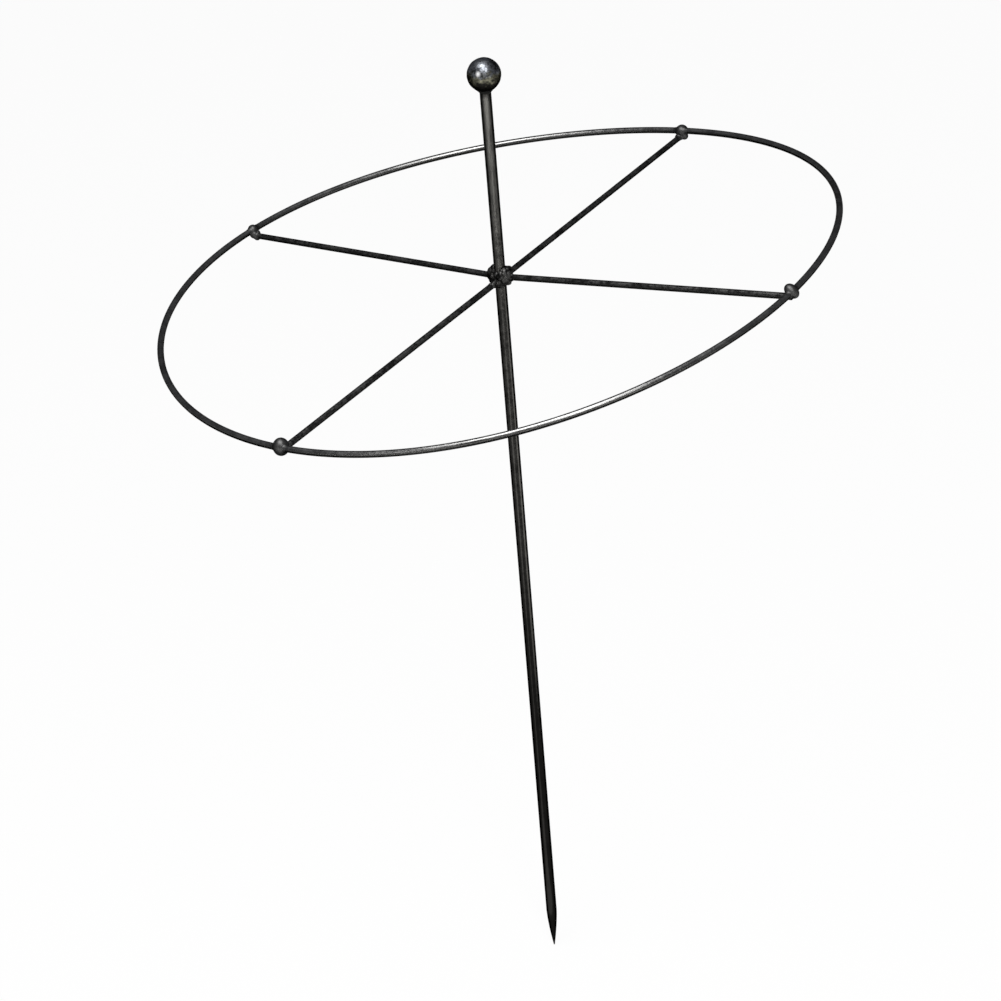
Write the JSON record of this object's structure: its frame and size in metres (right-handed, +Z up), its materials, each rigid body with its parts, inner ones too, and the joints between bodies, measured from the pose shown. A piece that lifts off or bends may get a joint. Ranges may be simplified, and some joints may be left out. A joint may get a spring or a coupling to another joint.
{
  "type": "plant support ring stake",
  "caption": "Pointed steel garden stake with a ball finial and a tilted wire hoop on welded spokes, through which a plant's stems grow and are held up.",
  "frame": {"origin": "on the stake's axis, at the shoulder where the full-diameter shank begins above the ground point", "axes": "+Z up the stake towards the ball, +X towards the high side of the tilted hoop, +Y away from the viewer"},
  "size_m": [0.509, 0.4998, 0.7743],
  "materials": {
    "coated_bar": "near-black semi-gloss coating over drawn bar and wire",
    "coated_ball": "near-black glossy coating over a faintly dimpled ball",
    "coated_weld": "near-black semi-gloss coating over lumpy weld metal"
  },
  "bodies": {
    "root": {"stake_rod": "coated_bar", "ball_finial": "coated_ball", "ball_weld": "coated_weld", "ring_hoop": "coated_bar", "spoke_left": "coated_bar", "spoke_near": "coated_bar", "spoke_far": "coated_bar", "spoke_right": "coated_bar", "hub_weld_left": "coated_weld", "hub_weld_near": "coated_weld", "hub_weld_far": "coated_weld", "hub_weld_right": "coated_weld", "bead_left": "coated_weld", "bead_near": "coated_weld", "bead_far": "coated_weld", "bead_right": "coated_weld"}
  },
  "joints": []
}
